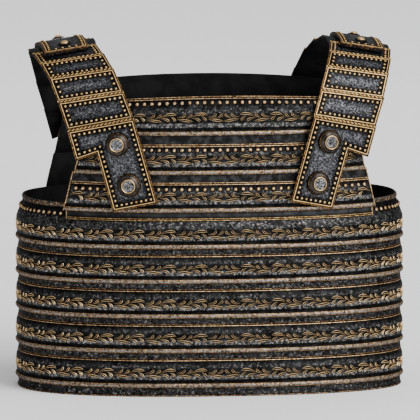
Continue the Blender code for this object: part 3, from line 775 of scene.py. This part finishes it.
# Two roped gilt lines with a near-black line of painted shade in the groove between, a dark band for
# the pearls, and then the mottled field
borderRows = [
    # distance in from the edge, lift, gilt, shade, wear
    (0, -0.35, 0.5, 0.4, 0.2), (0.25, 0.20, 0.6, 0.65, 0.3), (0.95, 0.25, 0.6, 0.65, 0.3),
    (1.25, -0.05, 0.1, 0.1, 0), (1.80, -0.05, 0.1, 0.1, 0), (2.05, 0.30, 1.1, 1.0, 0.6),
    (2.70, 0.30, 1.1, 1.0, 0.6), (3.05, 0, 0, 0.1, 0), (3.7, 0, 0, 0.3, 0),
    (7.6, 0, 0, 0.4, 0), (9.2, 0, 0, 0.8, 0.25),
]


# Corners of an outline moved inwards: each edge by its own distance, met where its lines cross
def insetCorners(outline, distances):
    edges = unit(np.roll(outline, -1, axis=0) - outline)
    inward = np.stack([-edges[:, 1], edges[:, 0]], axis=1)
    starts = outline + inward * np.asarray(distances, float)[:, None]
    previous, before = np.roll(starts, 1, axis=0), np.roll(edges, 1, axis=0)
    gap = starts - previous
    cross = before[:, 0] * edges[:, 1] - before[:, 1] * edges[:, 0]
    share = (gap[:, 0] * edges[:, 1] - gap[:, 1] * edges[:, 0]) / cross
    return previous + before * share[:, None]


# A bordered plate: rings of its outline, inset step by step and lifted by the border's rows, then the
# back's rings a wall's thickness behind. place(x, y, lift) puts the flat pattern on the real surface,
# and the border starts further in by laps where the next plate covers an edge.
def borderedPlate(outline, laps, place, wall, deepest, divisions=border["divisions"]):
    shares = np.arange(divisions) / divisions
    rows = [(deepest, -wall, *zone["inside"]), (0.0, -wall, 0.3, 0.5, 0.1)]
    rows += borderRows + [(deepest, 0.0, 0.0, 1.0, 0.6)]
    rings = []
    for number, (inset, lift, *_) in enumerate(rows):
        distances = inset + (np.asarray(laps) if 2 < number else 0.0)
        corners = insetCorners(outline, np.broadcast_to(distances, len(outline)))
        following = np.roll(corners, -1, axis=0)
        ring = corners[:, None] + (following - corners)[:, None] * shares[None, :, None]
        ring = ring.reshape(-1, 2)
        rings.append(place(ring[:, 0], ring[:, 1], np.full(len(ring), lift)))
    finishAndShade = np.array([row[2:] for row in rows])[:, None, :]
    slots = np.array([1] + [0] * (len(rows) - 1))
    return tubePatch(np.array(rings), finishAndShade, slots)


# Pearls along an outline inset by a distance, evenly spaced on each edge from corner to corner
def borderPearls(outline, insets, place, radius, spacing):
    corners = insetCorners(outline, insets)
    flat = []
    for first, second in zip(corners, np.roll(corners, -1, axis=0)):
        count = max(1, round(np.linalg.norm(second - first) / spacing))
        flat.append(first + (second - first) * (np.arange(count) / count)[:, None])
    flat = np.concatenate(flat)
    x, y = flat[:, 0], flat[:, 1]
    zero, step = np.zeros(len(x)), 0.05
    here = place(x, y, zero)
    along = unit(place(x + step, y, zero) - here)
    out = unit(place(x, y, zero + step) - here)
    axes = np.stack([along, np.cross(out, along), out], axis=1)
    return stamped(pearlPatch(radius, pearls["strapGilt"]), here, axes)


rope = {"radius": 1.1, "lay": 9.0, "sides": 12, "perMm": 2.4, "sink": 0.55}     # lay: mm for a whole twist


# A twisted rope laid along a line: two strands, so the radius swells and dips as it winds, and its
# crests are gilt while its troughs are darkened with painted shade. The line runs from start to end, a
# little under the face that looks along normal.
def ropePatch(start, end, normal):
    start, end = start - normal * rope["sink"], end - normal * rope["sink"]
    length = np.linalg.norm(end - start)
    axis = (end - start) / length
    across = unit(normal - axis * np.dot(normal, axis))
    other = np.cross(axis, across)
    t = np.linspace(0, length, int(length * rope["perMm"]))[:, None]
    angle = np.linspace(0, 2 * math.pi, rope["sides"], endpoint=False)[None, :]
    strand = np.cos(2 * angle - 4 * math.pi * t / rope["lay"])
    r = rope["radius"] * (0.85 + 0.15 * strand)
    points = (start + axis * t[..., None] + (r * np.cos(angle))[..., None] * across
              + (r * np.sin(angle))[..., None] * other)
    crest = np.clip(0.4 + 1.1 * strand, 0, 1)
    finishAndShade = np.stack([1.4 * crest - 0.2, 0.06 + 0.94 * crest, 0 * crest], axis=-1)
    return tubePatch(points, finishAndShade)


hands = (("left", 1), ("right", -1))
sides = (("Front", -1), ("Back", 1))
corner, across, down, normal = endFrame()
downSquare = unit(down - across * np.dot(down, across))
topEdge, leg = across * strap["width"], across * endPlate["legWidth"]
endCorners = [
    corner, corner + topEdge, corner + topEdge + down * endPlate["footDepth"],
    corner + leg + down * endPlate["notchDepth"], corner + leg + down * endPlate["length"],
    corner + down * endPlate["length"]]
endOutline = np.array([(np.dot(point - corner, across), np.dot(point - corner, downSquare))
                       for point in endCorners])


# The flat pattern x, y of an end plate on its own plane
def onEndPlate(x, y, lift):
    return corner + x[:, None] * across + y[:, None] * downSquare + lift[:, None] * normal


# The flat pattern x, y of a lame on its four corners, by straight lines between opposite edges
def lamePlace(corners, normal):
    tall = np.linalg.norm(corners[0] + corners[1] - corners[2] - corners[3]) / 2

    def place(x, y, lift):
        u, v = (x / strap["width"])[:, None], (y / tall)[:, None]
        upper = corners[0] * (1 - u) + corners[1] * u
        lower = corners[3] * (1 - u) + corners[2] * u
        return upper * (1 - v) + lower * v + lift[:, None] * normal

    outline = np.array([(0.0, 0.0), (strap["width"], 0.0), (strap["width"], tall), (0.0, tall)])
    return outline, place, tall


small = (pearls["small"], pearls["smallSpacing"])
endPatches = [
    borderedPlate(endOutline, [0.0] * 6, onEndPlate, strap["wall"], border["endDepth"]),
    borderPearls(endOutline, [border["pearlInset"]] * 6, onEndPlate, *small),
    ropePatch(corner, corner + topEdge, normal),
]
lap = strap["lap"] + border["lapGap"]
lameInsets = (border["pearlInset"], border["sideInset"], border["pearlInset"] + lap - border["lapTuck"],
              border["sideInset"])
runs, crownFoot = lameRuns()
for handName, hand in hands:
    for sideName, side in sides:
        prefix = f"{handName}{sideName}"
        cadPrefix = f"{handName}_{sideName.lower()}"
        patches = [mirrored(patch, hand, side) for patch in endPatches]
        makePiece(f"{prefix}EndPlate", patches, strapMetal, f"{cadPrefix}_end_plate")
        for name, corners, lameNormal in runs:
            outline, place, tall = lamePlace(corners, lameNormal)
            deepest = (tall - lap) / 2 - border["middleGap"]
            patches = [
                borderedPlate(outline, (0.0, 0.0, lap, 0.0), place, strap["wall"], deepest),
                borderPearls(outline, lameInsets, place, *small),
                ropePatch(corners[0], corners[1], lameNormal),
            ]
            patches = [mirrored(patch, hand, side) for patch in patches]
            makePiece(f"{prefix}{name.capitalize()}", patches, strapMetal,
                      f"{cadPrefix}_{name[:4]}_{name[4:]}")
print("strap plates made")


# Crown strips and shoulder caps

cap = {"width": 48.0, "halfLength": 49.0, "wall": 4.2, "rise": 6.0, "divisions": 16, "studReach": 30.0,
       "pearlInset": 5.6, "endInset": 6.6, "pearlSpacing": 7.4, "middleGap": 0.8}
crownStrip = {"stations": 25, "finishAndShade": (0.0, 0.9, 0.2)}


# An arched surface over the shoulder: x runs across, y along the arc from the front, on a circle
# through the foot and the crown, and the direction across sweeps from one end to the other
def archPlace(foot, height, width, droop, sweep):
    reach, sagitta = abs(foot[1]), height - foot[2]
    radius = (reach ** 2 + sagitta ** 2) / (2 * sagitta)
    halfTurn = math.asin(reach / radius)

    def place(x, y, lift):
        share = y / (radius * halfTurn) - 1
        angle = share * halfTurn
        swing = -share * sweep
        level, fall = math.cos(droop), np.full(len(x), -math.sin(droop))
        acrossAll = np.stack([level * np.cos(swing), level * np.sin(swing), fall], axis=1)
        out = np.stack([np.zeros(len(x)), np.sin(angle), np.cos(angle)], axis=1)
        middle = np.array([foot[0], 0.0, height - radius]) + out * (radius + lift)[:, None]
        return middle + acrossAll * (x - width / 2)[:, None]

    return place, 2 * radius * halfTurn


stripPlace, stripLength = archPlace(crownFoot, strap["height"], strap["crownWidth"], strap["droop"],
                                    strap["sweep"])
capHeight = strap["height"] + strap["gap"] + cap["wall"]
capFoot = np.array([strap["halfSpan"], -cap["halfLength"], capHeight - cap["rise"]])
capPlace, capLength = archPlace(capFoot, capHeight, cap["width"], strap["droop"], 0.0)


# The crown strip: a plain arched wall, as rings of its cross section along the arc
def crownPatch():
    y = np.linspace(0, stripLength, crownStrip["stations"])
    width, wall = strap["crownWidth"], strap["wall"]
    ring = [(0.0, 0.0), (width / 2, 0.0), (width, 0.0), (width, -wall), (width / 2, -wall), (0.0, -wall)]
    points = np.array([stripPlace(np.full(len(y), x), y, np.full(len(y), lift)) for x, lift in ring])
    look = np.array([crownStrip["finishAndShade"]] * 3 + [zone["inside"]] * 3)[:, None, :]
    return gridPatch(points, look, True, False, np.array([0, 0, 0, 1, 1, 0]), ("left", "right"))


capOutline = np.array([(0.0, 0.0), (cap["width"], 0.0), (cap["width"], capLength), (0.0, capLength)])
capInsets = [cap["endInset"], cap["pearlInset"], cap["endInset"], cap["pearlInset"]]
capPatches = [
    borderedPlate(capOutline, [0.0] * 4, capPlace, cap["wall"], cap["width"] / 2 - cap["middleGap"],
                  cap["divisions"]),
    borderPearls(capOutline, capInsets, capPlace, pearls["small"], cap["pearlSpacing"]),
]
crown = crownPatch()
for handName, hand in hands:
    patches = [mirrored(patch, hand) for patch in capPatches]
    makePiece(f"{handName}CrownStrip", [mirrored(crown, hand)], stripMetal, f"{handName}_crown_strip")
    makePiece(f"{handName}ShoulderCap", patches, strapMetal, f"{handName}_shoulder_cap")
print("crown strips and caps made")


# Studs

stud = {"sides": 48, "capSides": 32}
studOutline = [
    # radius, height, gilt, shade, wear: dome, thin gilt line, dome, gilt ring, sunk mottled face
    # the shade paints the light: near black at the foot, a painted contact shadow, rising to a painted sheen
    # round the dome's middle, and dark again in the creases by the gilt ring
    (13.0, 0, 0, 0.1, -1.5), (13.0, 0.6, 0, 0.2, -1.5), (12.9, 1.6, 0, 0.4, -1.5),
    (12.7, 2.6, 0, 0.8, -1.5), (12.5, 3.0, 0.58, 0.7, -1.0), (12.1, 3.7, 0.62, 0.7, -1.0),
    (11.8, 4.1, 0, 1.2, -1.5), (11.0, 4.9, 0, 2.4, -1.5), (9.9, 5.8, 0, 3.4, -1.5),
    (8.8, 6.5, 0, 2.2, -1.5), (7.8, 7.0, 0, 0.3, -1.0), (7.4, 7.3, 0.9, 0.9, 0.5),
    (7.0, 7.5, 1.1, 1.0, 0.9), (6.6, 7.3, 0.9, 0.8, 0.8), (6.3, 6.8, 0, 0.4, 0.3),
    (5.7, 6.8, 0, 1.0, 0.7), (3.0, 6.95, 0, 1.0, 0.6), (0.6, 7.0, 0, 1.0, 0.6),
]
capStudOutline = [
    (6.9, 0, 0, 0.3, 0), (6.9, 0.5, 0.2, 0.5, 0.1), (6.4, 1.0, 0.1, 0.8, 0.2),
    (4.9, 1.25, 0.1, 0.6, 0.1), (4.3, 1.4, 0.7, 0.7, 0.3), (3.9, 2.3, 1.0, 0.9, 0.6),
    (3.0, 3.1, 1.0, 1.0, 0.9), (1.5, 3.5, 1.0, 1.0, 1.0), (0.4, 3.6, 1.0, 1.0, 1.0),
]


capRadius = (cap["halfLength"] ** 2 + cap["rise"] ** 2) / (2 * cap["rise"])
capTilt = math.asin(cap["studReach"] / capRadius)
capAxis = unit(np.cross(acrossVector(strap["droop"], 0.0), [0.0, math.cos(capTilt), math.sin(capTilt)]))
capSeat = np.array([strap["halfSpan"], -cap["studReach"], capHeight - capRadius * (1 - math.cos(capTilt))])
capSeat += capAxis * strap["gap"]


for handName, hand in hands:
    for sideName, side in sides:
        for number, depth in enumerate((endPlate["upperStud"], endPlate["lowerStud"]), start=1):
            seat = corner + leg / 2 + down * depth + normal * strap["gap"]
            patch = mirrored(turnedPatch(studOutline, seat, normal, stud["sides"]), hand, side)
            makePiece(f"{handName}{sideName}Stud{number}", [patch], studMetal,
                      f"{handName}_{sideName.lower()}_stud_{number}")
    for sideName, side in sides:
        patch = mirrored(turnedPatch(capStudOutline, capSeat, capAxis, stud["capSides"]), hand, side)
        makePiece(f"{handName}{sideName}CapStud", [patch], capStudMetal,
                  f"{handName}_{sideName.lower()}_cap_stud")
print("studs made")


# Stage, camera and lights

stage = {
    "floorHalf": 30.0, "floorColour": "#fbfbfa", "floorRoughness": 0.9,
    "azimuth": math.radians(7.0), "elevation": math.radians(6.3), "distance": 20.0, "clipEnd": 200.0,
    "sensorMm": 36.0, "frameWidth": 0.4542, "target": (0.00065, 0.1877),      # across and up, in metres
    "world": 0.66, "worldColour": "#f6f7fa", "aimHeight": 0.2,
    "sun": 3.05, "sunSoftness": 1.2, "sunFrom": (2.2, -2.6, 2.6),
}
floorMesh = bpy.data.meshes.new("floor")
half = stage["floorHalf"]
floorCorners = [(-half, -half, 0), (half, -half, 0), (half, half, 0), (-half, half, 0)]
floorMesh.from_pydata(floorCorners, [], [(0, 1, 2, 3)])
floor = addObject("floor", floorMesh)
floorPaint = bpy.data.materials.new("paleFloor")
floorPaint.use_nodes = True
floorShader = floorPaint.node_tree.nodes["Principled BSDF"]
floorShader.inputs["Base Color"].default_value = srgb(stage["floorColour"])
floorShader.inputs["Roughness"].default_value = stage["floorRoughness"]
floorMesh.materials.append(floorPaint)
floor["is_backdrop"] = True

world = bpy.data.worlds.new("studio")
world.use_nodes = True
sky = world.node_tree.nodes["Background"]
sky.inputs["Color"].default_value = srgb(stage["worldColour"])
sky.inputs["Strength"].default_value = stage["world"]
bpy.context.scene.world = world


def facing(direction, axis="-Z"):        # the turn that points an object's axis along a direction
    return Vector(direction).to_track_quat(axis, "Y").to_euler()


lights = [
    # name, place in metres, size in metres, watts
    ("keyPanel", (1.5, -2.8, 2.4), 1.6, 62.0),
    ("backPanel", (0.5, 2.8, 2.2), 2.0, 14.0),
]
for name, place, size, watts in lights:
    data = bpy.data.lights.new(name, "AREA")
    data.shape = "SQUARE"
    data.size = size
    data.energy = watts
    lamp = addObject(name, data)
    lamp.location = place
    lamp.rotation_euler = facing(Vector((0, 0, stage["aimHeight"])) - lamp.location)

# One broad soft light from the right of the front lights the object and the floor alike
sunData = bpy.data.lights.new("softSun", "SUN")
sunData.energy = stage["sun"]
sunData.angle = stage["sunSoftness"]
sun = addObject("softSun", sunData)
sun.rotation_euler = facing(stage["sunFrom"], "Z")

# The camera stands in front, a little to the wearer's right and above, far off with a long lens
theta, rise = stage["azimuth"], stage["elevation"]
view = np.array([math.sin(theta) * math.cos(rise), math.cos(theta) * math.cos(rise), -math.sin(rise)])
right = np.array([math.cos(theta), -math.sin(theta), 0.0])
target = np.array([0.0, 0.0, stage["target"][1]]) + right * stage["target"][0]
cameraData = bpy.data.cameras.new("camera")
cameraData.sensor_width = stage["sensorMm"]
cameraData.lens = stage["sensorMm"] * stage["distance"] / stage["frameWidth"]
cameraData.clip_end = stage["clipEnd"]
camera = addObject("camera", cameraData)
camera.location = target - view * stage["distance"]
camera.rotation_euler = facing(view)
bpy.context.scene.camera = camera
print("stage made")

[[list(map(float, corner)) for corner in box] for box in (cadBox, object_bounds())]
